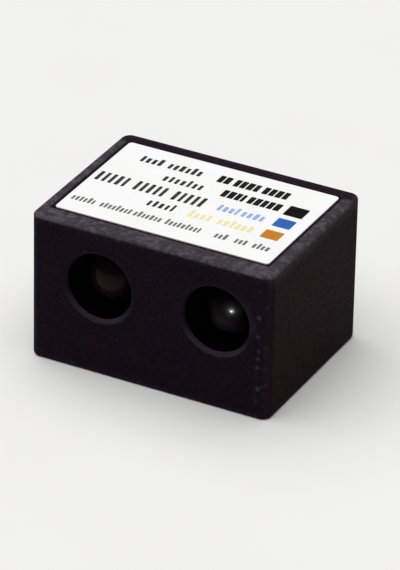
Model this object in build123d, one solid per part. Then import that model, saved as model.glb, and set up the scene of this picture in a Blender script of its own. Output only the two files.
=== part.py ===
from build123d import *
import os

# Infrared distance sensor, millimetres.
# Frame: origin at the centre of the footprint on the underside, +X to the right when the
# sensing face is looked at, +Y from the sensing face to the back, +Z up.
# The sensing face is at -Y.  The housing is one moulded shell, open at the back, and a plate
# closes it.  The circuit board lies flat in two grooves, and two 5 mm optical parts lie over it
# with their domes in the two bores of the sensing face.

# ---- driving dimensions -----------------------------------------------------------------
# housing
BODY_W = 20.5           # along X
BODY_D = 15.2           # along Y
BODY_H = 12.4           # along Z, without the label
EDGE_R_UPRIGHT = 0.8    # the four upright edges
EDGE_R_TOP = 0.3        # round the top
EDGE_R_BOTTOM = 0.3     # round the underside
WALL_FRONT = 1.5
WALL_SIDE = 1.3
WALL_TOP = 1.2
WALL_FLOOR = 1.1
CAVITY_R = 0.5          # corners of the cavity, along Y

# optical openings, from the sensing face
EMITTER_X = -4.3
RECEIVER_X = 5.7
OPTIC_Z = 7.55
BORE_D = 5.4
BORE_RIM_R = 0.4        # rounding of each mouth
TUBE_OD = 6.6           # the tube that carries each bore inward
DOME_RECESS = 0.95      # from the sensing face to the tip of each dome

# 5 mm optical part
LENS_D = 5.0
LENS_LEN = 8.6
FLANGE_D = 5.8
FLANGE_T = 1.0
LEAD_PITCH = 2.54
LEAD_S = 0.5            # square section
LEAD_DROP_Y = 2.85      # where the leads go down into the board
LEAD_BEND_R = 0.5       # on the centre line

# label
LABEL_W = 18.2
LABEL_D = 12.0
LABEL_T = 0.1
LABEL_R = 0.3
LABEL_Y = 0.15          # its centre, a little behind the middle

# circuit board
BOARD_W = 17.4
BOARD_Y0 = -6.05
BOARD_Y1 = 6.2
BOARD_Z = 2.0           # its underside
BOARD_T = 1.0
LEAD_END_Z = 1.5        # leads and pins are clipped here, under the board
LEAD_HOLE_D = 0.9
PIN_HOLE_D = 0.75

# back plate
COVER_T = 1.3
COVER_GAP = 0.1
SCREW_Z = 9.4
SCREW_D = 1.55
SCREW_LEN = 3.1
HEAD_D = 2.6
HEAD_T = 0.7
PIPE_X = 5.9
PIPE_Z = 4.7
PIPE_D = 2.0

# three-way socket, 1.25 mm pitch
SOCKET_W = 5.6
SOCKET_H = 3.4
SOCKET_Y0 = 3.3
SOCKET_Y1 = 7.3
PIN_PITCH = 1.25
PIN_S = 0.4

# ---- derived ----------------------------------------------------------------------------
FACE_Y = -BODY_D / 2
BACK_Y = BODY_D / 2
CAV_X = BODY_W / 2 - WALL_SIDE
CAV_Y0 = FACE_Y + WALL_FRONT
CAV_Z0 = WALL_FLOOR
CAV_Z1 = BODY_H - WALL_TOP
COVER_Y0 = BACK_Y - COVER_T
TIP_Y = FACE_Y + DOME_RECESS
LENS_Y1 = TIP_Y + LENS_LEN          # rear face of the flange
FLANGE_Y0 = LENS_Y1 - FLANGE_T
BOARD_TOP = BOARD_Z + BOARD_T
C = Align.CENTER
LO = Align.MIN


def block(x0, x1, y0, y1, z0, z1):
    """A box between two corners."""
    return Pos(x0, y0, z0) * Box(x1 - x0, y1 - y0, z1 - z0, align=(LO, LO, LO))


def rod_y(x, z, y0, y1, r):
    """A cylinder along Y."""
    return Pos(x, y0, z) * Rot(-90, 0, 0) * Cylinder(r, y1 - y0, align=(C, C, LO))


def cone_y(x, z, y0, y1, r0, r1):
    """A cone along Y, radius r0 at y0 and r1 at y1."""
    return Pos(x, y0, z) * Rot(-90, 0, 0) * Cone(r0, r1, y1 - y0, align=(C, C, LO))


def rod_z(x, y, z0, z1, r):
    """A cylinder along Z."""
    return Pos(x, y, z0) * Cylinder(r, z1 - z0, align=(C, C, LO))


def bent_lead(x, y0, y_drop, z, z_end, s, r):
    """A square wire that runs along Y at height z, turns down at y_drop and ends at z_end."""
    h = s / 2
    yc, zc = y_drop - r, z - r
    profile = Plane.YZ * (
        Pos((y0 + yc) / 2, z) * Rectangle(yc - y0, s)
        + Pos(y_drop, (z_end + zc) / 2) * Rectangle(s, zc - z_end)
    )
    ring = Plane.YZ * (Pos(yc, zc) * (Circle(r + h) - Circle(r - h)))
    quarter = Plane.YZ * (Pos(yc + r, zc + r) * Rectangle(2 * r, 2 * r))
    flat = profile + (ring & quarter)
    return Pos(x, 0, 0) * extrude(flat, amount=h, both=True)


def gull_lead(x, y, z_top, z_foot, side, width, reach, foot, t=0.13):
    """A flat lead out of a package's side at (x, y): out, down to the board, and a foot.
    side is +1 or -1 along Y."""
    y1 = y + side * (reach - foot)
    a = block(x - width / 2, x + width / 2, min(y, y1), max(y, y1), z_top - t, z_top)
    y2 = y1 - side * t
    b = block(x - width / 2, x + width / 2, min(y1, y2), max(y1, y2), z_foot, z_top)
    y3 = y + side * reach
    c = block(x - width / 2, x + width / 2, min(y2, y3), max(y2, y3), z_foot, z_foot + t)
    return a + b + c


def group(solids):
    """Separate solids in one node."""
    return Compound(children=[s for piece in solids for s in piece.solids()])


# ---- housing ----------------------------------------------------------------------------
shell = Box(BODY_W, BODY_D, BODY_H, align=(C, C, LO))
shell = fillet(shell.edges().filter_by(Axis.Z), EDGE_R_UPRIGHT)
shell = fillet(shell.edges().group_by(Axis.Z)[-1], EDGE_R_TOP)
shell = fillet(shell.edges().group_by(Axis.Z)[0], EDGE_R_BOTTOM)

# cavity, open at the back
cavity = block(-CAV_X, CAV_X, CAV_Y0, BACK_Y + 1, CAV_Z0, CAV_Z1)
cavity = fillet(cavity.edges().filter_by(Axis.Y), CAVITY_R)
housing = shell - cavity

# tubes that carry the bores inward, as far as the flanges of the optical parts
for x in (EMITTER_X, RECEIVER_X):
    housing += rod_y(x, OPTIC_Z, CAV_Y0 - 0.3, FLANGE_Y0, TUBE_OD / 2)

# grooves for the board: a rail under each long edge, a rib above it, a ledge at the front
RAIL_IN = 0.9
RIB_IN = 0.55
for s in (-1, 1):
    xa, xb = sorted((s * (CAV_X - RAIL_IN), s * (CAV_X + 0.3)))
    housing += block(xa, xb, CAV_Y0 - 0.3, COVER_Y0, CAV_Z0 - 0.3, BOARD_Z)
    xa, xb = sorted((s * (CAV_X - RIB_IN), s * (CAV_X + 0.3)))
    housing += block(xa, xb, CAV_Y0 - 0.3, COVER_Y0 - 0.6, BOARD_TOP + 0.1, BOARD_TOP + 0.8)
    # corner stops for the back plate
    xa, xb = sorted((s * (CAV_X - 0.8), s * (CAV_X + 0.3)))
    housing += block(xa, xb, COVER_Y0 - 0.9, COVER_Y0, CAV_Z1 - 0.8, CAV_Z1 + 0.3)
housing += block(-CAV_X, CAV_X, CAV_Y0 - 0.3, CAV_Y0 + 0.6, CAV_Z0 - 0.3, BOARD_Z)

# screw pillar, hung from the top wall
PILLAR_R = 1.45
PILLAR_Y0 = 3.15
housing += rod_y(0, SCREW_Z, PILLAR_Y0, COVER_Y0, PILLAR_R)
housing += block(-PILLAR_R, PILLAR_R, PILLAR_Y0, COVER_Y0, SCREW_Z, CAV_Z1 + 0.3)

# bores through the face and the tubes
for x in (EMITTER_X, RECEIVER_X):
    housing -= rod_y(x, OPTIC_Z, FACE_Y - 1, FLANGE_Y0 + 0.5, BORE_D / 2)
# rounded mouths
mouths = housing.edges().filter_by(GeomType.CIRCLE).filter_by(
    lambda e: abs(e.center().Y - FACE_Y) < 0.01 and abs(e.radius - BORE_D / 2) < 0.01
)
housing = fillet(mouths, BORE_RIM_R)

# screw hole, blind
housing -= rod_y(0, SCREW_Z, COVER_Y0 - SCREW_LEN + 0.25, COVER_Y0 + 0.5, SCREW_D / 2 + 0.02)

# two pockets in the floor for the tongues of the back plate
TONGUE_X = 5.6
TONGUE_W = 2.0
TONGUE_Y1 = BACK_Y - 0.55
for s in (-1, 1):
    housing -= block(
        s * TONGUE_X - TONGUE_W / 2 - 0.1, s * TONGUE_X + TONGUE_W / 2 + 0.1,
        COVER_Y0 - 0.1, TONGUE_Y1 + 0.1, CAV_Z0 - 0.6, CAV_Z0 + 0.2,
    )

# ---- back plate -------------------------------------------------------------------------
px = CAV_X - COVER_GAP
pz0, pz1 = CAV_Z0 + COVER_GAP, CAV_Z1 - COVER_GAP
rear_cover = block(-px, px, COVER_Y0, BACK_Y, pz0, pz1)
rear_cover = fillet(rear_cover.edges().filter_by(Axis.Y), CAVITY_R - COVER_GAP)
rear_cover = fillet(rear_cover.edges().group_by(Axis.Y)[-1], 0.15)
# window for the socket
win = block(
    -SOCKET_W / 2 - COVER_GAP, SOCKET_W / 2 + COVER_GAP, COVER_Y0 - 1, BACK_Y + 1,
    BOARD_TOP - COVER_GAP, BOARD_TOP + SOCKET_H + COVER_GAP,
)
win = fillet(win.edges().filter_by(Axis.Y), 0.25)
rear_cover -= win
# screw hole, sunk so that the head lies flush
rear_cover -= rod_y(0, SCREW_Z, COVER_Y0 - 1, BACK_Y + 1, 0.9)
rear_cover -= rod_y(0, SCREW_Z, BACK_Y - HEAD_T - 0.05, BACK_Y + 1, HEAD_D / 2 + 0.1)
# hole for the light pipe
rear_cover -= rod_y(PIPE_X, PIPE_Z, COVER_Y0 - 1, BACK_Y + 1, PIPE_D / 2)
# tongues that hook into the floor
for s in (-1, 1):
    rear_cover += block(
        s * TONGUE_X - TONGUE_W / 2, s * TONGUE_X + TONGUE_W / 2,
        COVER_Y0, TONGUE_Y1, CAV_Z0 - 0.5, CAV_Z0 + 0.5,
    )

# ---- screw ------------------------------------------------------------------------------
head_y0 = BACK_Y - HEAD_T - 0.05
head_y1 = BACK_Y - 0.05
head = rod_y(0, SCREW_Z, head_y0, head_y1, HEAD_D / 2)
head = fillet(head.edges().group_by(Axis.Y)[-1], 0.3)
shank_y0 = COVER_Y0 - SCREW_LEN + 0.35
shank = rod_y(0, SCREW_Z, shank_y0 + 0.5, head_y0, SCREW_D / 2)
point = cone_y(0, SCREW_Z, shank_y0, shank_y0 + 0.5, 0.3, SCREW_D / 2)
cover_screw = head + shank + point
cross = block(-0.75, 0.75, head_y1 - 0.42, BACK_Y + 1, -0.17, 0.17) + block(
    -0.17, 0.17, head_y1 - 0.42, BACK_Y + 1, -0.75, 0.75
)
cover_screw -= Pos(0, 0, SCREW_Z) * Rot(0, 22, 0) * cross

# ---- light pipe -------------------------------------------------------------------------
light_pipe = rod_y(PIPE_X, PIPE_Z, COVER_Y0, BACK_Y - 0.1, PIPE_D / 2)
light_pipe = fillet(light_pipe.edges().group_by(Axis.Y)[-1], 0.35)
light_pipe += rod_y(PIPE_X, PIPE_Z, COVER_Y0 - 0.5, COVER_Y0, PIPE_D / 2 + 0.4)

# ---- label ------------------------------------------------------------------------------
top_label = extrude(
    Pos(0, LABEL_Y, BODY_H) * RectangleRounded(LABEL_W, LABEL_D, LABEL_R), amount=LABEL_T
)

# ---- circuit board ----------------------------------------------------------------------
circuit_board = block(
    -BOARD_W / 2, BOARD_W / 2, BOARD_Y0, BOARD_Y1, BOARD_Z, BOARD_TOP
)
circuit_board = fillet(circuit_board.edges().filter_by(Axis.Z), 0.4)
lead_x = [
    c + s * LEAD_PITCH / 2 for c in (EMITTER_X, RECEIVER_X) for s in (-1, 1)
]
pin_x = [-PIN_PITCH, 0.0, PIN_PITCH]
for x in lead_x:
    circuit_board -= rod_z(x, LEAD_DROP_Y, BOARD_Z - 1, BOARD_TOP + 1, LEAD_HOLE_D / 2)
for x in pin_x:
    circuit_board -= rod_z(x, LEAD_DROP_Y, BOARD_Z - 1, BOARD_TOP + 1, PIN_HOLE_D / 2)


# ---- optical parts ----------------------------------------------------------------------
def epoxy_body(x, flat_side):
    """A 5 mm dome, barrel and flange; the flange has a flat on one side."""
    r = LENS_D / 2
    barrel = rod_y(x, OPTIC_Z, TIP_Y + r, FLANGE_Y0 + 0.2, r)
    dome = Pos(x, TIP_Y + r, OPTIC_Z) * Sphere(r)
    dome &= block(x - 4, x + 4, TIP_Y - 1, TIP_Y + r, OPTIC_Z - 4, OPTIC_Z + 4)
    flange = rod_y(x, OPTIC_Z, FLANGE_Y0, LENS_Y1, FLANGE_D / 2)
    xa, xb = sorted((x + flat_side * (r + 0.05), x + flat_side * (r + 2)))
    flange -= block(xa, xb, FLANGE_Y0 - 1, LENS_Y1 + 1, OPTIC_Z - 4, OPTIC_Z + 4)
    return dome + barrel + flange


def lead(x, y0):
    return bent_lead(x, y0, LEAD_DROP_Y, OPTIC_Z, LEAD_END_Z, LEAD_S, LEAD_BEND_R)


# emitter: its leads go into the epoxy and end in a cup and a post
CUP_R = 0.95
CUP_Y0 = -3.75          # rim of the cup
CUP_Y1 = -2.55
FRAME_H = LEAD_S / 2
cath_x = EMITTER_X + LEAD_PITCH / 2
anod_x = EMITTER_X - LEAD_PITCH / 2
emitter_cathode_lead = lead(cath_x, -0.7)
emitter_cathode_lead += block(
    EMITTER_X - 0.35, cath_x + FRAME_H, -2.0, -0.6, OPTIC_Z - FRAME_H, OPTIC_Z + FRAME_H
)
emitter_cathode_lead += block(
    EMITTER_X - 0.35, EMITTER_X + 0.6, CUP_Y1 - 0.3, -1.9, OPTIC_Z - FRAME_H, OPTIC_Z + FRAME_H
)
emitter_cathode_lead += rod_y(EMITTER_X, OPTIC_Z, CUP_Y0, CUP_Y1, CUP_R)
emitter_cathode_lead -= cone_y(EMITTER_X, OPTIC_Z, CUP_Y0 - 0.1, CUP_Y0 + 0.5, 0.87, 0.42)

emitter_anode_lead = lead(anod_x, -1.5)
emitter_anode_lead += block(
    anod_x - FRAME_H, anod_x + 0.6, -2.3, -1.4, OPTIC_Z - FRAME_H, OPTIC_Z + FRAME_H
)

DIE_S, DIE_T = 0.36, 0.2
die_y1 = CUP_Y0 + 0.5
emitter_die = block(
    EMITTER_X - DIE_S / 2, EMITTER_X + DIE_S / 2, die_y1 - DIE_T, die_y1,
    OPTIC_Z - DIE_S / 2, OPTIC_Z + DIE_S / 2,
)

WIRE_R = 0.04
wire_a = Vector(EMITTER_X, die_y1 - DIE_T, OPTIC_Z)
wire_b = Vector(anod_x, -2.3, OPTIC_Z)
wire_mid = Vector(EMITTER_X - 1.05, -4.25, OPTIC_Z)
wire_path = ThreePointArc(wire_a, wire_mid, wire_b)
wire_start = Plane(origin=wire_path @ 0, z_dir=wire_path % 0)
emitter_bond_wire = sweep(wire_start * Circle(WIRE_R), path=wire_path)
# bonded flat on the chip and on the post
emitter_bond_wire -= emitter_die
emitter_bond_wire -= emitter_anode_lead

emitter_lens = epoxy_body(EMITTER_X, 1)
for inner in (emitter_cathode_lead, emitter_anode_lead, emitter_die, emitter_bond_wire):
    emitter_lens -= inner

# receiver: black epoxy that can't be seen into, and two leads
receiver_body = epoxy_body(RECEIVER_X, 1)
receiver_leads = group(
    [lead(RECEIVER_X + s * LEAD_PITCH / 2, LENS_Y1) for s in (-1, 1)]
)

# ---- socket -----------------------------------------------------------------------------
sx = SOCKET_W / 2
connector_shell = block(-sx, sx, SOCKET_Y0, SOCKET_Y1, BOARD_TOP, BOARD_TOP + SOCKET_H)
connector_shell = fillet(connector_shell.edges().filter_by(Axis.Y), 0.2)
connector_shell -= block(
    -sx + 0.5, sx - 0.5, SOCKET_Y0 + 1.0, SOCKET_Y1 + 1, BOARD_TOP + 0.5, BOARD_TOP + SOCKET_H - 0.5
)
# two keyways in the roof
for s in (-1, 1):
    connector_shell -= block(
        s * 1.3 - 0.35, s * 1.3 + 0.35, SOCKET_Y0 + 1.6, SOCKET_Y1 + 1,
        BOARD_TOP + SOCKET_H - 0.7, BOARD_TOP + SOCKET_H - 0.2,
    )
PIN_Z = BOARD_TOP + SOCKET_H / 2
PIN_BEND_R = 0.3
PIN_TIP_Y = SOCKET_Y1 - 0.6
pins = []
for x in pin_x:
    # each pin runs from its tip in the socket, through the back wall and down into the board
    h, r = PIN_S / 2, PIN_BEND_R
    yc, zc = LEAD_DROP_Y + r, PIN_Z - r
    arms = Plane.YZ * (
        Pos((yc + PIN_TIP_Y) / 2, PIN_Z) * Rectangle(PIN_TIP_Y - yc, PIN_S)
        + Pos(LEAD_DROP_Y, (LEAD_END_Z + zc) / 2) * Rectangle(PIN_S, zc - LEAD_END_Z)
    )
    ring = Plane.YZ * (Pos(yc, zc) * (Circle(r + h) - Circle(r - h)))
    quarter = Plane.YZ * (Pos(yc - r, zc + r) * Rectangle(2 * r, 2 * r))
    p = Pos(x, 0, 0) * extrude(arms + (ring & quarter), amount=h, both=True)
    tip = p.edges().filter_by(Axis.X).group_by(Axis.Y)[-1]
    pins.append(chamfer(tip, 0.1))
    connector_shell -= p
connector_pins = group(pins)


# ---- parts on the board -----------------------------------------------------------------
def package(x, y, w, d, h, lift=0.1):
    """A moulded package with slightly drafted sides."""
    z0, z1 = BOARD_TOP + lift, BOARD_TOP + lift + h
    b = block(x - w / 2, x + w / 2, y - d / 2, y + d / 2, z0, z1)
    return chamfer(b.edges().group_by(Axis.Z)[-1], 0.12)


# controller: 14 leads on two sides
CTRL = (-4.4, -2.6, 5.0, 4.4, 0.95)
controller_chip = package(*CTRL)
# pin-one dimple
controller_chip -= rod_z(
    CTRL[0] - 2.0, CTRL[1] - 1.6, BOARD_TOP + 0.1 + CTRL[4] - 0.06, BOARD_TOP + 2, 0.3
)
controller_leads = group(
    [
        gull_lead(CTRL[0] + (i - 3) * 0.65, CTRL[1] + s * CTRL[3] / 2,
                  BOARD_TOP + 0.62, BOARD_TOP, s, 0.24, 0.95, 0.6)
        for i in range(7) for s in (-1, 1)
    ]
)

# amplifier for the receiver: five leads
AMP = (5.9, -0.4, 2.9, 1.6, 1.0)
amplifier_chip = package(*AMP)
amplifier_leads = group(
    [
        gull_lead(AMP[0] + dx, AMP[1] + s * AMP[3] / 2, BOARD_TOP + 0.62, BOARD_TOP, s, 0.4, 0.6, 0.4)
        for s, xs in ((-1, (-0.95, 0, 0.95)), (1, (-0.95, 0.95))) for dx in xs
    ]
)

# transistor that drives the emitter: three leads
DRV = (5.9, -4.3, 2.9, 1.3, 0.95)
driver_transistor = package(*DRV)
driver_leads = group(
    [
        gull_lead(DRV[0] + dx, DRV[1] + s * DRV[3] / 2, BOARD_TOP + 0.6, BOARD_TOP, s, 0.42, 0.55, 0.38)
        for s, xs in ((-1, (-0.95, 0.95)), (1, (0.0,))) for dx in xs
    ]
)

# supply regulator: three leads and a tab
REG = (-6.0, 4.75, 3.6, 1.7, 1.4)
voltage_regulator = package(*REG, lift=0.05)
regulator_leads = group(
    [
        gull_lead(REG[0] + dx, REG[1] - REG[3] / 2, BOARD_TOP + 0.5, BOARD_TOP, -1, 0.42, 0.55, 0.38)
        for dx in (-1.2, 0.0, 1.2)
    ]
    + [gull_lead(REG[0], REG[1] + REG[3] / 2, BOARD_TOP + 0.5, BOARD_TOP, 1, 1.6, 0.5, 0.35)]
)

# reservoir capacitor, moulded, with a terminal folded under each end
CAP = (0.9, -0.6, 2.8, 3.5, 1.8)
bulk_capacitor = package(*CAP, lift=0.1)
terms = []
for s in (-1, 1):
    y_end = CAP[1] + s * CAP[3] / 2
    ya, yb = sorted((y_end, y_end + s * 0.12))
    upright = block(CAP[0] - 1.1, CAP[0] + 1.1, ya, yb, BOARD_TOP, BOARD_TOP + 1.0)
    ya, yb = sorted((y_end + s * 0.12, y_end - s * 0.8))
    foot = block(CAP[0] - 1.1, CAP[0] + 1.1, ya, yb, BOARD_TOP, BOARD_TOP + 0.1)
    terms.append(upright + foot)
bulk_capacitor_terminals = group(terms)


def chip_part(x, y, along_x, length, width, height):
    """A two-ended chip part whose metal ends stand a little proud of the middle."""
    step = 0.03
    if along_x:
        mid = block(x - length / 2 + 0.1, x + length / 2 - 0.1, y - width / 2 + step,
                    y + width / 2 - step, BOARD_TOP + step, BOARD_TOP + height - step)
        ends = [
            block(min(a, b), max(a, b), y - width / 2, y + width / 2, BOARD_TOP, BOARD_TOP + height)
            for a, b in (
                (x - length / 2, x - length / 2 + 0.3),
                (x + length / 2, x + length / 2 - 0.3),
            )
        ]
    else:
        mid = block(x - width / 2 + step, x + width / 2 - step, y - length / 2 + 0.1,
                    y + length / 2 - 0.1, BOARD_TOP + step, BOARD_TOP + height - step)
        ends = [
            block(x - width / 2, x + width / 2, min(a, b), max(a, b), BOARD_TOP, BOARD_TOP + height)
            for a, b in (
                (y - length / 2, y - length / 2 + 0.3),
                (y + length / 2, y + length / 2 - 0.3),
            )
        ]
    return mid + ends[0] + ends[1]


ceramic_capacitors = group(
    [
        chip_part(0.9, -4.4, True, 1.6, 0.8, 0.8),
        chip_part(8.0 - 0.35, 4.4, False, 1.6, 0.8, 0.8),
        chip_part(-0.3, 2.0, True, 1.0, 0.5, 0.5),
        chip_part(3.35, -2.2, False, 1.6, 0.8, 0.8),
    ]
)
chip_resistors = group(
    [
        chip_part(0.2, -5.4, True, 1.6, 0.8, 0.45),
        chip_part(2.6, -5.4, True, 1.6, 0.8, 0.45),
        chip_part(5.9, -2.35, True, 1.6, 0.8, 0.45),
        chip_part(3.5, 0.6, False, 1.6, 0.8, 0.45),
        chip_part(-7.65, -2.6, False, 1.6, 0.8, 0.45),
        chip_part(-7.65, -0.4, False, 1.6, 0.8, 0.45),
        chip_part(4.0, 4.6, False, 1.6, 0.8, 0.45),
    ]
)

# indicator, behind the light pipe
indicator_led = block(PIPE_X - 0.8, PIPE_X + 0.8, 4.7, 5.5, BOARD_TOP, BOARD_TOP + 0.25)
indicator_led += block(PIPE_X - 0.5, PIPE_X + 0.5, 4.7, 5.5, BOARD_TOP, BOARD_TOP + 0.65)

# ---- solder under the board -------------------------------------------------------------
joints = []
for x in lead_x:
    c = Pos(x, LEAD_DROP_Y, BOARD_Z - 0.6) * Cone(0.38, 0.8, 0.6, align=(C, C, LO))
    joints.append(c - block(x - LEAD_S / 2, x + LEAD_S / 2, LEAD_DROP_Y - LEAD_S / 2,
                            LEAD_DROP_Y + LEAD_S / 2, LEAD_END_Z, BOARD_Z + 1))
for x in pin_x:
    c = Pos(x, LEAD_DROP_Y, BOARD_Z - 0.6) * Cone(0.32, 0.58, 0.6, align=(C, C, LO))
    joints.append(c - block(x - PIN_S / 2, x + PIN_S / 2, LEAD_DROP_Y - PIN_S / 2,
                            LEAD_DROP_Y + PIN_S / 2, LEAD_END_Z, BOARD_Z + 1))
solder_joints = group(joints)

# ---- write ------------------------------------------------------------------------------
nodes = {
    "housing": housing,
    "rear_cover": rear_cover,
    "cover_screw": cover_screw,
    "light_pipe": light_pipe,
    "top_label": top_label,
    "circuit_board": circuit_board,
    "emitter_lens": emitter_lens,
    "emitter_cathode_lead": emitter_cathode_lead,
    "emitter_anode_lead": emitter_anode_lead,
    "emitter_die": emitter_die,
    "emitter_bond_wire": emitter_bond_wire,
    "receiver_body": receiver_body,
    "receiver_leads": receiver_leads,
    "connector_shell": connector_shell,
    "connector_pins": connector_pins,
    "controller_chip": controller_chip,
    "controller_leads": controller_leads,
    "amplifier_chip": amplifier_chip,
    "amplifier_leads": amplifier_leads,
    "driver_transistor": driver_transistor,
    "driver_leads": driver_leads,
    "voltage_regulator": voltage_regulator,
    "regulator_leads": regulator_leads,
    "bulk_capacitor": bulk_capacitor,
    "bulk_capacitor_terminals": bulk_capacitor_terminals,
    "ceramic_capacitors": ceramic_capacitors,
    "chip_resistors": chip_resistors,
    "indicator_led": indicator_led,
    "solder_joints": solder_joints,
}
os.makedirs("parts", exist_ok=True)
for name, shape in nodes.items():
    export_step(shape, f"parts/{name}.step")
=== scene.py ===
import math

import bmesh
import bpy
from mathutils import Matrix, Vector


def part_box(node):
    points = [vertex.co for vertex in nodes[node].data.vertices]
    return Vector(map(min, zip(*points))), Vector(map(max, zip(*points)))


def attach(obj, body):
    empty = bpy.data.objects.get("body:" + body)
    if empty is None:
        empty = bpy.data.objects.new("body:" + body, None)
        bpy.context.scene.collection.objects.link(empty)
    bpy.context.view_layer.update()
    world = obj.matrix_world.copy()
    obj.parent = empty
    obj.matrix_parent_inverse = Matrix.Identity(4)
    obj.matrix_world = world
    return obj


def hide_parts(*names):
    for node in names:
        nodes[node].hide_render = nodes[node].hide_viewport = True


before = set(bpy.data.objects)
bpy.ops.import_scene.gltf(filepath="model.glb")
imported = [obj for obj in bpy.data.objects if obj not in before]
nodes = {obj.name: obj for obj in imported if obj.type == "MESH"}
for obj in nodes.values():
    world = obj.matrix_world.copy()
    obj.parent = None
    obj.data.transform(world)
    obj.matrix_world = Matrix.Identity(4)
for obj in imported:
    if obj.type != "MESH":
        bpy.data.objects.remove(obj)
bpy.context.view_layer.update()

MM = 0.001
scene = bpy.context.scene

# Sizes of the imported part, in millimetres, that the added pieces sit on.
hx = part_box("housing")[1].x / MM            # half width
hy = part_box("housing")[1].y / MM            # half depth
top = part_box("housing")[1].z / MM           # top of the moulding
label_lo, label_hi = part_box("top_label")
e_lo, e_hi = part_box("emitter_lens")
r_lo, r_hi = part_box("receiver_body")
FLANGE_R = 2.9
emitter_x = e_lo.x / MM + FLANGE_R          # axes of the two optical parts
receiver_x = r_lo.x / MM + FLANGE_R
optic_z = (e_lo.z + e_hi.z) / 2 / MM

# ---- camera: the photograph's direction, tilt and distance ---------------------------------
az, el, roll = math.radians(28.5), math.radians(28.6), math.radians(1.2)
back = Vector((math.sin(az) * math.cos(el), -math.cos(az) * math.cos(el), math.sin(el)))
eye = Vector((-7.52, 0.15, 9.81)) * MM + back * 0.3617
aim = Vector((0.35, 0.15, 5.3)) * MM
z_axis = (eye - aim).normalized()
x_axis = Vector((0, 0, 1)).cross(z_axis).normalized()
y_axis = z_axis.cross(x_axis)
cam_x = x_axis * math.cos(roll) + y_axis * math.sin(roll)
cam_y = y_axis * math.cos(roll) - x_axis * math.sin(roll)
cam_data = bpy.data.cameras.new("camera")
cam_data.sensor_width = 36.0
cam_data.lens = 4700.0 * 36.0 / 570.0
cam_data.clip_start, cam_data.clip_end = 0.01, 20.0
cam = bpy.data.objects.new("camera", cam_data)
scene.collection.objects.link(cam)
cam.matrix_world = Matrix((
    (cam_x.x, cam_y.x, z_axis.x, eye.x),
    (cam_x.y, cam_y.y, z_axis.y, eye.y),
    (cam_x.z, cam_y.z, z_axis.z, eye.z),
    (0, 0, 0, 1),
))
scene.camera = cam


# ---- node helpers --------------------------------------------------------------------------
class Mat:
    """A material with a Principled shader, and short ways to add nodes to it."""

    def __init__(self, name, rough=0.5, metal=0.0, spec=0.5, color=(0.5, 0.5, 0.5)):
        self.mat = bpy.data.materials.new(name)
        self.mat.use_nodes = True
        self.t = self.mat.node_tree
        self.p = self.t.nodes["Principled BSDF"]
        self.p.inputs["Roughness"].default_value = rough
        self.p.inputs["Metallic"].default_value = metal
        self.p.inputs["Specular IOR Level"].default_value = spec
        self.p.inputs["Base Color"].default_value = (*color, 1)
        self.coord = self.add("ShaderNodeTexCoord").outputs["Object"]

    def add(self, kind, **values):
        n = self.t.nodes.new(kind)
        for k, v in values.items():
            if k in n.inputs:
                self.put(n.inputs[k], v)
            else:
                setattr(n, k, v)
        return n

    def put(self, socket, v):
        if isinstance(v, bpy.types.NodeSocket):
            self.t.links.new(v, socket)
        else:
            socket.default_value = v

    def noise(self, scale, detail=2.0, rough=0.5, distort=0.0, at=None):
        n = self.add("ShaderNodeTexNoise")
        n.inputs["Scale"].default_value = scale
        n.inputs["Detail"].default_value = detail
        n.inputs["Roughness"].default_value = rough
        n.inputs["Distortion"].default_value = distort
        self.put(n.inputs["Vector"], at or self.coord)
        return n.outputs["Fac"]

    def cells(self, scale, feature="F1", out="Distance", at=None):
        n = self.add("ShaderNodeTexVoronoi", feature=feature)
        n.inputs["Scale"].default_value = scale
        self.put(n.inputs["Vector"], at or self.coord)
        return n.outputs[out]

    def math(self, op, a, b=0.0, c=None, clamp=False):
        n = self.add("ShaderNodeMath", operation=op, use_clamp=clamp)
        self.put(n.inputs[0], a)
        self.put(n.inputs[1], b)
        if c is not None:
            self.put(n.inputs[2], c)
        return n.outputs[0]

    def ramp(self, value, lo, hi, to_lo=0.0, to_hi=1.0, smooth=True):
        n = self.add("ShaderNodeMapRange", interpolation_type="SMOOTHSTEP" if smooth else "LINEAR")
        self.put(n.inputs["Value"], value)
        n.inputs["From Min"].default_value = lo
        n.inputs["From Max"].default_value = hi
        n.inputs["To Min"].default_value = to_lo
        n.inputs["To Max"].default_value = to_hi
        return n.outputs["Result"]

    def mix(self, fac, a, b):
        n = self.add("ShaderNodeMix", data_type="RGBA")
        self.put(n.inputs["Factor"], fac)
        for name, v in (("A", a), ("B", b)):
            s = [i for i in n.inputs if i.name == name and i.type == "RGBA"][0]
            self.put(s, v if isinstance(v, bpy.types.NodeSocket) else (*v, 1))
        return [o for o in n.outputs if o.type == "RGBA"][0]

    def split(self, at=None):
        n = self.add("ShaderNodeSeparateXYZ")
        self.put(n.inputs[0], at or self.coord)
        return n.outputs

    def bump(self, height, strength, distance, normal=None):
        n = self.add("ShaderNodeBump")
        n.inputs["Strength"].default_value = strength
        n.inputs["Distance"].default_value = distance
        self.put(n.inputs["Height"], height)
        if normal is not None:
            self.put(n.inputs["Normal"], normal)
        return n.outputs["Normal"]

    def color(self, v):
        self.put(self.p.inputs["Base Color"], v)

    def rough(self, v):
        self.put(self.p.inputs["Roughness"], v)

    def normal(self, v):
        self.put(self.p.inputs["Normal"], v)


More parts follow.
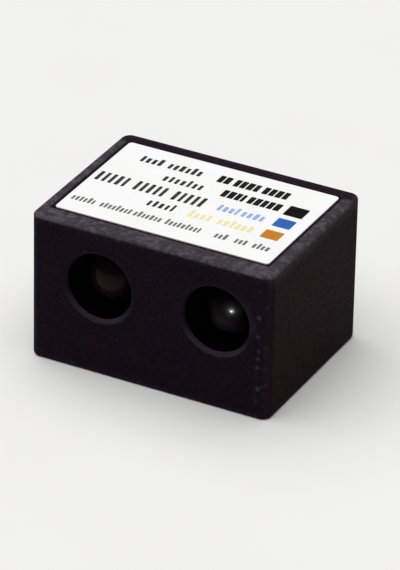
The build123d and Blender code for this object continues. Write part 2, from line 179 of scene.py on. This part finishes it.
def edge_mask(m, half_x, half_y, z0, z1, width):
    """1 on the outer edges of a block, falling to 0 at width from them: the middle one of the
    three distances to the block's sides."""
    s = m.split()
    dx = m.math("SUBTRACT", half_x, m.math("ABSOLUTE", s[0]))
    dy = m.math("SUBTRACT", half_y, m.math("ABSOLUTE", s[1]))
    mid_z, half_z = (z0 + z1) / 2, (z1 - z0) / 2
    dz = m.math("SUBTRACT", half_z, m.math("ABSOLUTE", m.math("SUBTRACT", s[2], mid_z)))
    lo = m.math("MINIMUM", dx, dy)
    hi = m.math("MAXIMUM", dx, dy)
    mid = m.math("MAXIMUM", lo, m.math("MINIMUM", hi, dz))
    return m.ramp(mid, 0.0, width, 1.0, 0.0)


def black_moulding(name, seed_shift, lips=(), outer=True):
    """Matt black moulded plastic with a fine spark-eroded grain and the odd speck of dust, with painted
    highlights on its edges, rim and lower lips, painted shade in the bores and painted warm light."""
    m = Mat(name, rough=0.6, spec=0.03)
    at = m.add("ShaderNodeMapping")
    at.inputs["Location"].default_value = (seed_shift, seed_shift * 0.7, seed_shift * 1.3)
    m.put(at.inputs["Vector"], m.coord)
    at = at.outputs[0]
    s = m.split()
    grain = m.noise(6400, 2.0, 0.68, at=at)
    pits = m.cells(5200, at=at)
    coarse = m.noise(2500, 3.0, 0.7, at=at)
    broad = m.noise(190, 3.0, 0.55, at=at)
    tone = m.noise(620, 2.0, 0.5, at=at)
    # colour: near black with a purple cast, mottled from warm to cool; painted warm light on the right side
    c = m.mix(m.ramp(tone, 0.36, 0.64), (0.0078, 0.0030, 0.0058), (0.0056, 0.0030, 0.0084))
    c = m.mix(m.ramp(broad, 0.35, 0.68, 0.0, 0.5), c, (0.0072, 0.0034, 0.0066))
    # painted reflected light: paler and redder towards the bottom
    c = m.mix(m.ramp(s[2], 0.3 * MM, 4.5 * MM, 0.10, 0.0), c, (0.0180, 0.0060, 0.0140))
    painted_warm_light = m.ramp(s[0], (hx - 0.4) * MM, (hx - 0.04) * MM, 0.0, 0.7)
    c = m.mix(painted_warm_light, c, (0.0068, 0.0014, 0.0020))
    # the crests of the grain are paler
    crest = m.ramp(grain, 0.47, 0.62)
    c = m.mix(m.math("MULTIPLY", crest, 0.55), c, (0.0155, 0.0082, 0.0135))
    hollow = m.ramp(pits, 0.10, 0.34, 1.0, 0.0)
    c = m.mix(m.math("MULTIPLY", hollow, 0.5), c, (0.0022, 0.0012, 0.0022))
    # more painted warm light on the right side
    c = m.mix(m.math("MULTIPLY", painted_warm_light, 0.8), c, (0.0106, 0.0030, 0.0040))
    bore_shade = None
    points = None
    if outer:
        # painted highlight on the rim round the label, but for its back stretch and a thin line along
        # the label left dark as shade; the edges and upright edges get a fainter painted highlight
        edge = edge_mask(m, hx * MM, hy * MM, 0.0, top * MM, 0.8 * MM)
        lx = m.math("SUBTRACT", m.math("ABSOLUTE", s[0]), label_hi.x)
        ly = m.math("SUBTRACT", m.math("ABSOLUTE", m.math("SUBTRACT", s[1], (label_lo.y + label_hi.y) / 2)),
                    (label_hi.y - label_lo.y) / 2)
        left = m.math("MULTIPLY", m.math("LESS_THAN", s[0], 0.0), 0.14 * MM)
        off = m.math("MAXIMUM", m.math("SUBTRACT", lx, left), ly)
        rim = m.math("MULTIPLY", m.ramp(off, 0.10 * MM, 0.32 * MM), m.ramp(s[2], (top - 0.34) * MM, (top - 0.14) * MM))
        rim = m.math("MULTIPLY", rim, m.ramp(s[1], (hy - 1.6) * MM, (hy - 1.1) * MM, 1.0, 0.12))
        patch = m.noise(1250, 2.0, 0.55, at=at)
        break_up = m.ramp(coarse, 0.32, 0.64, 0.62, 1.0)
        # the front right corner of the rim takes more painted highlight
        corner = m.math("MULTIPLY", m.ramp(m.math("ABSOLUTE", s[0]), (hx - 3.2) * MM, (hx - 1.0) * MM),
                        m.ramp(s[1], (-hy + 1.2) * MM, (-hy + 2.6) * MM, 1.0, 0.0))
        pale = m.ramp(m.math("ADD", patch, m.math("MULTIPLY", corner, 0.10)), 0.44, 0.68)
        # painted highlight at the top of the right face
        side = m.ramp(s[2], (top - 1.3) * MM, (top - 0.3) * MM, 0.0, 0.28)
        side = m.math("MULTIPLY", side, m.ramp(s[0], (hx - 0.5) * MM, (hx - 0.1) * MM))
        # painted highlight on all the edges
        c = m.mix(m.math("MULTIPLY", edge, 0.16), c, (0.040, 0.032, 0.041))
        # painted highlight along the back right upright edge
        back = m.math("MULTIPLY", m.ramp(s[1], (hy - 0.9) * MM, (hy - 0.45) * MM, 0.0, 0.22), m.ramp(s[0], (hx - 0.5) * MM, (hx - 0.1) * MM))
        c = m.mix(m.math("MAXIMUM", side, back), c, (0.052, 0.041, 0.047))
        c = m.mix(m.math("MULTIPLY", rim, break_up), c, m.mix(pale, (0.054, 0.046, 0.056), (0.088, 0.077, 0.092)))
        # small round painted glints along the edges, most of them where the roundings begin
        painted_glints = m.ramp(m.cells(1900, at=at), 0.24, 0.52, 1.0, 0.0)
        painted_glints = m.math("MULTIPLY", painted_glints, m.ramp(m.split(m.cells(1900, out="Color", at=at))[0], 0.25, 0.70))
        begin = m.math("MULTIPLY", m.ramp(s[0], (hx - 1.35) * MM, (hx - 1.0) * MM), m.ramp(s[0], (hx - 0.75) * MM, (hx - 0.4) * MM, 1.0, 0.0))
        begin = m.math("MULTIPLY", begin, m.math("LESS_THAN", s[1], (-hy + 0.6) * MM))
        points = m.math("MULTIPLY", painted_glints, m.math("MAXIMUM", m.ramp(edge, 0.04, 0.55, 0.0, 0.3), begin), clamp=True)
        for x, z, r0, r1 in lips:
            dx = m.math("SUBTRACT", s[0], x * MM)
            dz = m.math("SUBTRACT", s[2], z * MM)
            r = m.math("SQRT", m.math("ADD", m.math("MULTIPLY", dx, dx), m.math("MULTIPLY", dz, dz)))
            out = m.ramp(r, r1 * 0.95 * MM, r1 * MM, 1.0, 0.0)
            on = m.math("MULTIPLY", out, m.ramp(r, (r0 - 0.05) * MM, (r0 + 0.05) * MM))
            on = m.math("MULTIPLY", on, m.math("LESS_THAN", s[1], (-hy + 0.5) * MM))
            # painted highlight on the lower half of the lip
            painted_lip_light = m.ramp(dz, -2.6 * MM, -0.7 * MM, 0.58, 0.05)
            c = m.mix(m.math("MULTIPLY", on, painted_lip_light), c, (0.040, 0.034, 0.042))
            # the bores are smoother than the grained outside, and a deeper black by painted shade
            inside = m.math("MULTIPLY", m.ramp(r, (r0 + 0.02) * MM, (r0 + 0.12) * MM, 1.0, 0.0),
                            m.math("GREATER_THAN", s[1], (-hy + 0.25) * MM))
            bore_shade = inside if bore_shade is None else m.math("MAXIMUM", bore_shade, inside)
        # the painted glints
        c = m.mix(m.math("MULTIPLY", points, 0.34), c, (0.075, 0.066, 0.078))
    # dust: a few pale specks
    speck = m.cells(900, at=at)
    rare = m.cells(900, out="Color", at=at)
    pick = m.math("GREATER_THAN", m.split(rare)[0], 0.94)
    dust_and_painted_reflection = m.math("MULTIPLY", pick, m.ramp(speck, 0.05, 0.11, 1.0, 0.0))
    c = m.mix(m.math("MULTIPLY", dust_and_painted_reflection, 0.25), c, (0.16, 0.15, 0.14))
    r = m.ramp(grain, 0.34, 0.7, 0.70, 0.54)
    if points is not None:
        r = m.math("SUBTRACT", r, m.math("MULTIPLY", points, 0.15))
    if bore_shade is not None:
        # painted shade: the bores a deeper black
        c = m.mix(bore_shade, c, (0.0012, 0.0009, 0.0012))
        r = m.math("SUBTRACT", r, m.math("MULTIPLY", bore_shade, 0.22))
    m.color(c)
    m.rough(r)
    h = m.math("ADD", m.math("MULTIPLY", grain, 0.8), m.math("MULTIPLY", pits, 0.5))
    n1 = m.bump(h, 0.8, 0.00003)
    n2 = m.bump(coarse, 0.3, 0.00005, n1)
    m.normal(n2)
    return m.mat


def tip_reflection_mask(m, x, z, near, far):
    """1 on the tip of an optical part at (x, z), in millimetres, falling to 0 at far from it."""
    s = m.split()
    dx = m.math("SUBTRACT", s[0], x * MM)
    dz = m.math("SUBTRACT", s[2], z * MM)
    r = m.math("SQRT", m.math("ADD", m.math("MULTIPLY", dx, dx), m.math("MULTIPLY", dz, dz)))
    return m.ramp(r, near * MM, far * MM, 1.0, 0.0)


def clear_epoxy(name, tint, rough, ior=1.54, clear=1.0, tip_reflection=None):
    m = Mat(name, rough=rough, color=tint)
    m.p.inputs["Transmission Weight"].default_value = clear
    m.p.inputs["IOR"].default_value = ior
    swirl = m.noise(420, 2.0, 0.5)
    c = m.mix(swirl, tint, tuple(v * 0.8 for v in tint))
    # a painted reflection on the tip
    if tip_reflection:
        c = m.mix(tip_reflection_mask(m, *tip_reflection[:4]), c, tip_reflection[4])
    m.color(c)
    m.rough(m.ramp(m.noise(1300, 2.0), 0.3, 0.7, rough * 0.8, rough * 1.3))
    m.normal(m.bump(m.noise(900, 2.0), 0.08, 0.00002))
    return m.mat


def black_epoxy():
    """Black epoxy that only infrared passes: dull reflections under a thin bright skin."""
    m = Mat("black_epoxy", rough=0.32, spec=0.01)
    n = m.noise(420, 3.0)
    c = m.mix(m.ramp(n, 0.35, 0.65), (0.0022, 0.0016, 0.0020), (0.0030, 0.0018, 0.0020))
    # a painted brownish reflection on the tip, broken up by noise
    dust_and_painted_reflection = m.math("MULTIPLY", tip_reflection_mask(m, receiver_x + 0.15, optic_z - 1.1, 0.4, 1.75), m.ramp(m.noise(2100, 3.0), 0.3, 0.7, 0.75, 1.0))
    m.color(m.mix(dust_and_painted_reflection, c, (0.0155, 0.0108, 0.0150)))
    m.rough(m.ramp(m.noise(1500, 3.0), 0.3, 0.72, 0.28, 0.38))
    m.normal(m.bump(m.noise(700, 2.0), 0.05, 0.00002))
    m.p.inputs["Coat Weight"].default_value = 1.0
    m.p.inputs["Coat Roughness"].default_value = 0.18
    m.p.inputs["Coat IOR"].default_value = 1.07
    return m.mat


def tinned(name, color=(0.62, 0.61, 0.58), rough=0.32):
    m = Mat(name, rough=rough, metal=1.0, color=color)
    n = m.noise(2600, 4.0, 0.6)
    m.color(m.mix(m.ramp(n, 0.3, 0.75), tuple(v * 0.8 for v in color), color))
    m.rough(m.ramp(n, 0.3, 0.75, rough * 1.4, rough * 0.75))
    m.normal(m.bump(m.noise(5200, 2.0), 0.2, 0.00001))
    return m.mat


def plastic(name, color, rough=0.5, spec=0.5, grain=0.15, vary=0.85, scale=4200):
    """Plain moulded plastic or ceramic with a fine grain and a slight mottle."""
    m = Mat(name, rough=rough, spec=spec)
    n = m.noise(scale / 8, 3.0)
    m.color(m.mix(m.ramp(n, 0.3, 0.7), tuple(v * vary for v in color), color))
    g = m.noise(scale, 3.0, 0.6)
    m.rough(m.ramp(g, 0.3, 0.7, rough * 1.12, rough * 0.88))
    m.normal(m.bump(g, grain, 0.00002))
    return m.mat


# ---- looks ---------------------------------------------------------------------------------
BORE_R, LIP_R = 2.7, 3.15
m_housing = black_moulding(
    "housing_plastic", 0.0,
    [(emitter_x, optic_z, BORE_R, LIP_R), (receiver_x, optic_z, BORE_R, LIP_R)],
)
m_cover = black_moulding("cover_plastic", 0.031, outer=False)
m_black_epoxy = black_epoxy()
# the emitter's tip gets a painted brownish reflection
m_smoky = clear_epoxy("smoky_epoxy", (0.015, 0.0066, 0.0066), 0.13, 1.14, 0.55,
                      (emitter_x + 0.2, optic_z - 0.4, 0.5, 1.8, (0.0225, 0.0088, 0.0118)))
m_pipe = clear_epoxy("clear_pipe", (0.86, 0.90, 0.86), 0.05)
m_tin = tinned("tinned_metal")
m_gold = tinned("gold_wire", (0.85, 0.6, 0.22), 0.2)
m_solder = tinned("solder", (0.6, 0.6, 0.62), 0.24)
m_steel = tinned("screw_steel", (0.36, 0.36, 0.37), 0.34)
m_nylon = plastic("socket_nylon", (0.66, 0.62, 0.50), 0.42, 0.5, 0.12, 0.93)
m_package = plastic("package_black", (0.018, 0.018, 0.019), 0.55, 0.4, 0.35)
m_die = plastic("die", (0.09, 0.08, 0.12), 0.2, 0.6, 0.05)
m_tantalum = plastic("tantalum_case", (0.55, 0.30, 0.045), 0.45, 0.5, 0.2)
m_indicator = plastic("indicator_lens", (0.72, 0.68, 0.42), 0.25, 0.5, 0.05)


def chip_material(name, body, end, half, horizontal_boxes):
    """Chip parts: a fired body with metal on both ends, chosen by where a point lies along the
    part. horizontal_boxes holds (x, y, along_x) for each part, in millimetres."""
    m = Mat(name, rough=0.5)
    s = m.split()
    total = None
    for x, y, along_x in horizontal_boxes:
        ax = m.math("ABSOLUTE", m.math("SUBTRACT", s[0], x * MM))
        ay = m.math("ABSOLUTE", m.math("SUBTRACT", s[1], y * MM))
        long_d, short_d = (ax, ay) if along_x else (ay, ax)
        on = m.math("MULTIPLY", m.math("GREATER_THAN", long_d, (half - 0.3) * MM),
                    m.math("LESS_THAN", long_d, (half + 0.05) * MM))
        on = m.math("MULTIPLY", on, m.math("LESS_THAN", short_d, 0.45 * MM))
        total = on if total is None else m.math("MAXIMUM", total, on)
    g = m.noise(3800, 3.0, 0.6)
    body_c = m.mix(g, tuple(v * 0.8 for v in body), body)
    m.color(m.mix(total, body_c, end))
    m.rough(m.ramp(total, 0.0, 1.0, 0.5, 0.3))
    m.put(m.p.inputs["Metallic"], total)
    m.normal(m.bump(g, 0.15, 0.00002))
    return m.mat


m_ceramic = chip_material(
    "ceramic_tan", (0.36, 0.22, 0.12), (0.62, 0.61, 0.58), 0.8,
    [(0.9, -4.4, True), (7.65, 4.4, False), (3.35, -2.2, False)],
)
m_resistor = chip_material(
    "resistor_body", (0.02, 0.02, 0.022), (0.62, 0.61, 0.58), 0.8,
    [(0.2, -5.4, True), (2.6, -5.4, True), (5.9, -2.35, True), (3.5, 0.6, False),
     (-7.65, -2.6, False), (-7.65, -0.4, False), (4.0, 4.6, False)],
)


def board_material():
    """Green solder mask, with the copper under it showing as paler tracks."""
    m = Mat("board_laminate", rough=0.35)
    s = m.split()
    warp = m.noise(160, 0.0)
    u = m.math("ADD", s[0], m.math("MULTIPLY", warp, 0.0012))
    v = m.math("ADD", s[1], m.math("MULTIPLY", warp, -0.0010))
    tu = m.math("PINGPONG", u, 0.00045)
    tv = m.math("PINGPONG", v, 0.00060)
    area = m.math("GREATER_THAN", m.noise(260, 0.0), 0.52)
    track_u = m.math("LESS_THAN", tu, 0.00014)
    track_v = m.math("LESS_THAN", tv, 0.00016)
    track = m.math("ADD", m.math("MULTIPLY", track_u, area),
                   m.math("MULTIPLY", track_v, m.math("SUBTRACT", 1.0, area)))
    c = m.mix(track, (0.006, 0.060, 0.022), (0.016, 0.118, 0.040))
    # bare laminate on the edges of the board
    lo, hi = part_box("circuit_board")
    side = m.math("LESS_THAN", m.math("SUBTRACT", hi.x, m.math("ABSOLUTE", s[0])), 0.00001)
    side = m.math("MAXIMUM", side, m.math("GREATER_THAN", s[1], hi.y - 0.00001))
    side = m.math("MAXIMUM", side, m.math("LESS_THAN", s[1], lo.y + 0.00001))
    c = m.mix(side, c, (0.20, 0.19, 0.09))
    m.color(c)
    m.normal(m.bump(track, 0.25, 0.00003))
    m.rough(m.ramp(m.noise(1800, 2.0), 0.3, 0.7, 0.3, 0.42))
    return m.mat


m_board = board_material()


def dress(node, mat):
    o = nodes[node]
    o.data.materials.clear()
    o.data.materials.append(mat)


for node, mat in {
    "housing": m_housing, "rear_cover": m_cover, "cover_screw": m_steel, "light_pipe": m_pipe,
    "circuit_board": m_board, "emitter_cathode_lead": m_tin, "emitter_anode_lead": m_tin,
    "emitter_die": m_die, "emitter_bond_wire": m_gold, "receiver_leads": m_tin,
    "connector_shell": m_nylon, "connector_pins": m_tin, "controller_chip": m_package,
    "controller_leads": m_tin, "amplifier_chip": m_package, "amplifier_leads": m_tin,
    "driver_transistor": m_package, "driver_leads": m_tin, "voltage_regulator": m_package,
    "regulator_leads": m_tin, "bulk_capacitor": m_tantalum, "bulk_capacitor_terminals": m_tin,
    "ceramic_capacitors": m_ceramic, "chip_resistors": m_resistor, "indicator_led": m_indicator,
    "solder_joints": m_solder,
}.items():
    dress(node, mat)


# ---- added pieces --------------------------------------------------------------------------
def add_mesh(name, bm, mat, replaces=(), smooth=True):
    me = bpy.data.meshes.new(name)
    bm.normal_update()
    bm.to_mesh(me)
    bm.free()
    if smooth:
        me.shade_smooth()
    me.materials.append(mat)
    o = bpy.data.objects.new(name, me)
    scene.collection.objects.link(o)
    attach(o, "root")
    if replaces:
        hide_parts(*replaces)
    return o


def lathe(profile, cx, cz, steps=128, flat=None):
    """Turns (radius, y) points round an axis along Y through (cx, cz), in millimetres. flat cuts
    the +X side at that distance from the axis."""
    bm = bmesh.new()
    rings = []
    for r, y in profile:
        if r < 1e-6:
            rings.append([bm.verts.new(Vector((cx, y, cz)) * MM)])
            continue
        ring = []
        for i in range(steps):
            a = 2 * math.pi * i / steps
            dx, dz = r * math.cos(a), r * math.sin(a)
            if flat is not None:
                dx = min(dx, flat)
            ring.append(bm.verts.new(Vector((cx + dx, y, cz + dz)) * MM))
        rings.append(ring)
    for a, b in zip(rings, rings[1:]):
        for i in range(steps):
            j = (i + 1) % steps
            if len(a) == 1:
                bm.faces.new((a[0], b[i], b[j]))
            elif len(b) == 1:
                bm.faces.new((a[j], a[i], b[0]))
            else:
                bm.faces.new((a[i], b[i], b[j], a[j]))
    bmesh.ops.recalc_face_normals(bm, faces=bm.faces)
    return bm


def dome_profile(tip, rear, flange_t=1.0, r=2.5, fr=2.9, n=28):
    """The outline of a 5 mm optical part: dome, barrel, flange with softened edges."""
    pts = [(r * math.sin(math.pi / 2 * i / n), tip + r - r * math.cos(math.pi / 2 * i / n)) for i in range(n + 1)]
    f0 = rear - flange_t
    pts += [(r + 0.01, f0 - 1.5), (r + 0.02, f0 - 0.12), (r + 0.06, f0 - 0.03), (r + 0.12, f0)]
    pts += [(fr - 0.1, f0), (fr - 0.03, f0 + 0.03), (fr, f0 + 0.1)]
    pts += [(fr, rear - 0.1), (fr - 0.03, rear - 0.03), (fr - 0.1, rear), (1.2, rear), (0.0, rear)]
    return pts


add_mesh("emitter_dome", lathe(dome_profile(e_lo.y / MM, e_hi.y / MM), emitter_x, optic_z, flat=2.55),
         m_smoky, ("emitter_lens",))
add_mesh("receiver_dome", lathe(dome_profile(r_lo.y / MM, r_hi.y / MM), receiver_x, optic_z, flat=2.55),
         m_black_epoxy, ("receiver_body",))


# ---- label ---------------------------------------------------------------------------------
def rounded(cx, cy, w, d, r, n=5):
    """Corner-rounded outline, anticlockwise, in millimetres."""
    pts = []
    for k, (sx, sy) in enumerate(((1, 1), (-1, 1), (-1, -1), (1, -1))):
        for i in range(n + 1):
            a = math.pi / 2 * (k + i / n)
            pts.append((cx + sx * (w / 2 - r) + r * math.cos(a), cy + sy * (d / 2 - r) + r * math.sin(a)))
    return pts


def slab(bm, outline, z0, z1, lip=0.0):
    """A flat plate over an outline, with its top edge drawn in by lip."""
    cx = sum(p[0] for p in outline) / len(outline)
    cy = sum(p[1] for p in outline) / len(outline)

    def ring(z, inset):
        out = []
        for x, y in outline:
            dx, dy = x - cx, y - cy
            d = math.hypot(dx, dy) or 1
            out.append(bm.verts.new(Vector((x - dx / d * inset, y - dy / d * inset, z)) * MM))
        return out

    rings = [ring(z0, 0.0)]
    if lip:
        rings += [ring(z1 - lip, 0.0), ring(z1, lip)]
    else:
        rings += [ring(z1, 0.0)]
    for a, b in zip(rings, rings[1:]):
        for i in range(len(a)):
            j = (i + 1) % len(a)
            bm.faces.new((a[i], a[j], b[j], b[i]))
    bm.faces.new(rings[-1])
    bm.faces.new(list(reversed(rings[0])))


LW = (label_hi.x - label_lo.x) / MM
LD = (label_hi.y - label_lo.y) / MM
LX0, LY1 = label_lo.x / MM, label_hi.y / MM
LZ0, LZ1 = label_lo.z / MM, label_hi.z / MM
INK = 0.012


def label_material():
    """White printed film: very slightly uneven in colour, gloss and level."""
    m = Mat("label_film", rough=0.38, spec=0.4)
    n = m.noise(240, 3.0, 0.5)
    c = m.mix(m.ramp(n, 0.3, 0.7), (0.885, 0.885, 0.875), (0.925, 0.925, 0.92))
    fibres = m.noise(6500, 2.0, 0.6)
    c = m.mix(m.math("MULTIPLY", m.ramp(fibres, 0.55, 0.8), 0.25), c, (0.83, 0.83, 0.82))
    m.color(c)
    m.rough(m.ramp(n, 0.3, 0.7, 0.42, 0.34))
    m.normal(m.bump(m.noise(300, 2.0), 0.12, 0.00006, m.bump(fibres, 0.12, 0.00001)))
    return m.mat


def ink(name, color, rough=0.45, broken=0.14):
    """Printed ink: dense, with a fine break-up that lets a little white through."""
    m = Mat(name, rough=rough, spec=0.05)
    n = m.noise(7000, 2.0, 0.6)
    paper = (0.80, 0.80, 0.79)
    thin = tuple((1 - broken) * c + broken * p for c, p in zip(color, paper))
    m.color(m.mix(m.ramp(n, 0.5, 0.8), color, thin))
    m.rough(m.ramp(n, 0.3, 0.7, rough * 0.85, rough * 1.15))
    m.normal(m.bump(n, 0.1, 0.000008))
    return m.mat


bm = bmesh.new()
slab(bm, rounded(LX0 + LW / 2, LY1 - LD / 2, LW, LD, 0.3, 8), LZ0, LZ1 - INK, 0.02)
add_mesh("label_sheet", bm, label_material(), ("top_label",), smooth=False)

# Rows of plain bars in the place of print: (first x, last x, top y, height, bar, gap, even)
# x from the label's left edge and y from its back edge, in millimetres. An even word has bars of
# one height; the others vary a little.
rows = {
    "black": [
        (8.8, 9.9, 1.35, 1.10, 0.44, 0.11, True), (10.2, 12.35, 1.35, 1.10, 0.44, 0.11, True),
        (12.65, 15.1, 1.35, 1.10, 0.44, 0.11, True),
        (10.1, 12.05, 3.27, 1.10, 0.44, 0.11, True), (12.35, 15.1, 3.27, 1.10, 0.44, 0.11, True),
    ],
    "grey": [
        (2.1, 4.1, 1.35, 1.05, 0.30, 0.20, False), (4.5, 7.4, 1.35, 1.05, 0.30, 0.20, False),
        (5.1, 8.7, 3.30, 1.05, 0.26, 0.24, False),
        (0.45, 3.4, 5.25, 1.45, 0.28, 0.28, True), (3.75, 6.7, 5.25, 1.45, 0.28, 0.28, True),
        (7.05, 9.8, 5.25, 1.45, 0.28, 0.28, True),
        (5.9, 8.1, 7.35, 1.05, 0.26, 0.24, False),
    ],
    "pale_grey": [
        (0.45, 2.6, 9.5, 0.85, 0.20, 0.14, False), (2.9, 5.5, 9.5, 0.85, 0.20, 0.14, False),
        (5.8, 8.2, 9.5, 0.85, 0.20, 0.14, False), (8.5, 11.4, 9.5, 0.85, 0.20, 0.14, False),
        (12.7, 13.9, 9.5, 0.85, 0.22, 0.14, False), (14.4, 15.5, 9.5, 0.85, 0.22, 0.14, False),
        (15.9, 17.4, 9.5, 0.85, 0.22, 0.14, False),
    ],
    "blue_text": [(10.9, 12.6, 5.4, 1.05, 0.30, 0.20, False), (12.95, 15.1, 5.4, 1.05, 0.30, 0.20, False)],
    "ochre_text": [(9.4, 11.5, 7.35, 1.05, 0.30, 0.20, False), (11.9, 15.1, 7.35, 1.05, 0.30, 0.20, False)],
}
squares = {
    "black_patch": (15.60, 17.22, 3.06, 4.60),
    "blue_patch": (15.66, 17.16, 5.20, 6.55),
    "orange_patch": (15.66, 17.16, 7.25, 8.55),
}
# how far each bar in turn falls short of the row's top, and how wide it is, so that a row has a
# rhythm without spelling anything
SHORT = (0.0, 0.26, 0.26, 0.12, 0.26, 0.0, 0.26, 0.26, 0.12, 0.26, 0.26)
WIDE = (1.0, 1.1, 0.95, 1.0, 1.15, 0.9, 1.05)
inks = {
    "black": ink("ink_black", (0.008, 0.008, 0.008), broken=0.05),
    "grey": ink("ink_grey", (0.030, 0.030, 0.030), broken=0.1),
    "pale_grey": ink("ink_pale_grey", (0.16, 0.16, 0.158)),
    "blue_text": ink("ink_pale_blue", (0.30, 0.42, 0.70)),
    "ochre_text": ink("ink_pale_ochre", (0.82, 0.75, 0.40)),
    "black_patch": ink("ink_patch_black", (0.004, 0.004, 0.004), broken=0.02),
    "blue_patch": ink("ink_patch_blue", (0.028, 0.120, 0.41), broken=0.06),
    "orange_patch": ink("ink_patch_orange", (0.54, 0.198, 0.014), broken=0.04),
}
count = 0
for name, words in rows.items():
    bm = bmesh.new()
    for x0, x1, y0, h, w, g, even in words:
        x = x0
        while x < x1 - w * 0.6:
            bw = min(w * WIDE[count % len(WIDE)], x1 - x)
            cut = 0.0 if even else SHORT[count % len(SHORT)] * h
            count += 1
            slab(bm, rounded(LX0 + x + bw / 2, LY1 - (y0 + cut / 2 + h / 2), bw, h - cut, min(0.05, bw / 3), 2),
                 LZ1 - 0.03, LZ1)
            x += bw + g
    add_mesh("print_" + name, bm, inks[name], smooth=False)
for name, (x0, x1, y0, y1) in squares.items():
    bm = bmesh.new()
    slab(bm, rounded(LX0 + (x0 + x1) / 2, LY1 - (y0 + y1) / 2, x1 - x0, y1 - y0, 0.08, 3), LZ1 - 0.03, LZ1)
    add_mesh("print_" + name, bm, inks[name], smooth=False)


# ---- stage ---------------------------------------------------------------------------------
def floor():
    bm = bmesh.new()
    bmesh.ops.create_grid(bm, x_segments=1, y_segments=1, size=6.0)
    me = bpy.data.meshes.new("floor")
    bm.to_mesh(me)
    bm.free()
    m = Mat("floor", rough=0.9, spec=0.0)
    n = m.noise(60, 3.0)
    m.color(m.mix(n, (0.79, 0.785, 0.775), (0.82, 0.815, 0.81)))
    m.normal(m.bump(m.noise(1400, 2.0), 0.05, 0.00005))
    me.materials.append(m.mat)
    o = bpy.data.objects.new("floor", me)
    scene.collection.objects.link(o)


floor()


def light(name, kind, at, aim_at, power, color=(1, 1, 1), size=0.1, size_y=None):
    d = bpy.data.lights.new(name, kind)
    o = bpy.data.objects.new(name, d)
    d.energy = power
    d.color = color
    if kind == "SUN":
        d.angle = math.radians(size)
    elif kind == "SPOT":
        d.spot_size, d.spot_blend, d.shadow_soft_size = math.radians(size), 0.6, 0.002
        o.visible_camera = False
        o.visible_diffuse = False
    else:
        d.shape = "RECTANGLE"
        d.size, d.size_y = size, size_y or size
    scene.collection.objects.link(o)
    o.location = at
    o.rotation_mode = "QUATERNION"
    o.rotation_quaternion = (Vector(aim_at) - Vector(at)).to_track_quat("-Z", "Y")
    return o


# a wide soft source overhead, a little behind and to the right, and a small one in front that
# puts the point of light on the receiver's dome
light("overhead", "SUN", (-0.09, -0.02, 0.5), (0, 0, 0), 3.1, size=84)
light("front_point", "SPOT", (0.0150, -0.0534, 0.0005), (0.0065, -0.0065, 0.0080), 5.0, size=2.0)

world = bpy.data.worlds.new("studio")
scene.world = world
world.use_nodes = True
wt = world.node_tree
bg = wt.nodes["Background"]
bg.inputs["Color"].default_value = (0.97, 0.98, 1.0, 1)
bg.inputs["Strength"].default_value = 0.14
seen = wt.nodes.new("ShaderNodeBackground")
seen.inputs["Color"].default_value = (0.888, 0.886, 0.880, 1)
seen.inputs["Strength"].default_value = 1.0
path = wt.nodes.new("ShaderNodeLightPath")
both = wt.nodes.new("ShaderNodeMixShader")
wt.links.new(path.outputs["Is Camera Ray"], both.inputs[0])
wt.links.new(bg.outputs[0], both.inputs[1])
wt.links.new(seen.outputs[0], both.inputs[2])
wt.links.new(both.outputs[0], wt.nodes["World Output"].inputs["Surface"])

scene.view_settings.view_transform = "Standard"
scene.view_settings.look = "None"
scene.view_settings.exposure = 0.0
